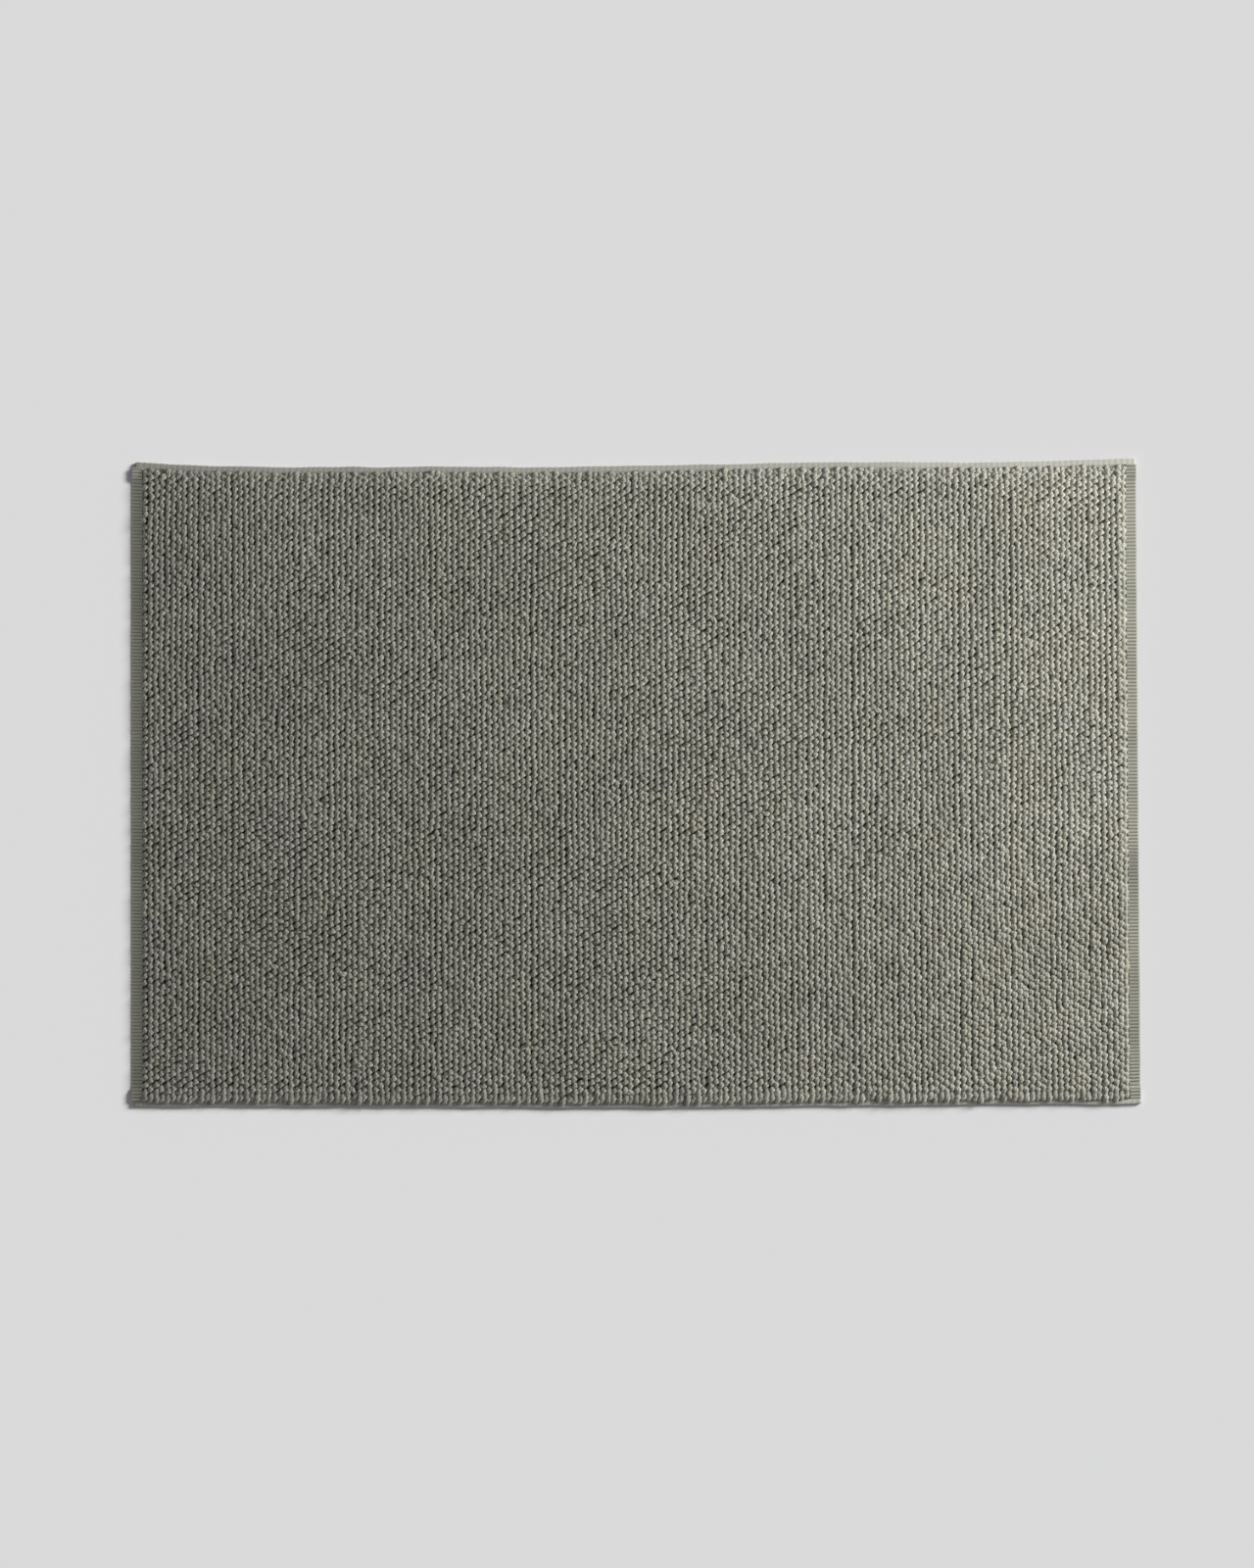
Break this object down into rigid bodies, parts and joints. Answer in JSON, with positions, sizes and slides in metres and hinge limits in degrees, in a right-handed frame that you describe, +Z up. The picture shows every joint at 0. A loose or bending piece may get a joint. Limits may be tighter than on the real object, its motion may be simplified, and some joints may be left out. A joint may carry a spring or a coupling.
{
  "type": "bath mat",
  "caption": "Rectangular looped cotton bath mat: woven ground cloth with staggered columns of loops, ribbed selvedges at the short ends and turned, stitched hems along the long sides.",
  "frame": {"origin": "on the floor, under the middle of the mat", "axes": "+X along the long sides, +Y across the mat towards the back hem, +Z up, out of the loops"},
  "size_m": [0.86, 0.55, 0.01],
  "materials": {
    "loop_yarn": "matte, chunky looped cotton yarn, grey sage",
    "woven_cloth": "matte plain-woven cotton, grey sage",
    "ribbed_cloth": "matte weft-ribbed cotton, grey sage",
    "heading_cloth": "matte close-woven cotton, grey sage",
    "sewing_thread": "slightly lustrous spun polyester thread, grey sage",
    "label_tape": "smooth blank satin tape, off-white"
  },
  "bodies": {
    "root": {"ground_cloth": "woven_cloth", "loop_pile": "loop_yarn", "selvedge_left": "ribbed_cloth", "selvedge_right": "ribbed_cloth", "hem_front": "heading_cloth", "hem_back": "heading_cloth", "needle_thread_front": "sewing_thread", "needle_thread_back": "sewing_thread", "bobbin_thread_front": "sewing_thread", "bobbin_thread_back": "sewing_thread", "care_label": "label_tape"}
  },
  "joints": []
}
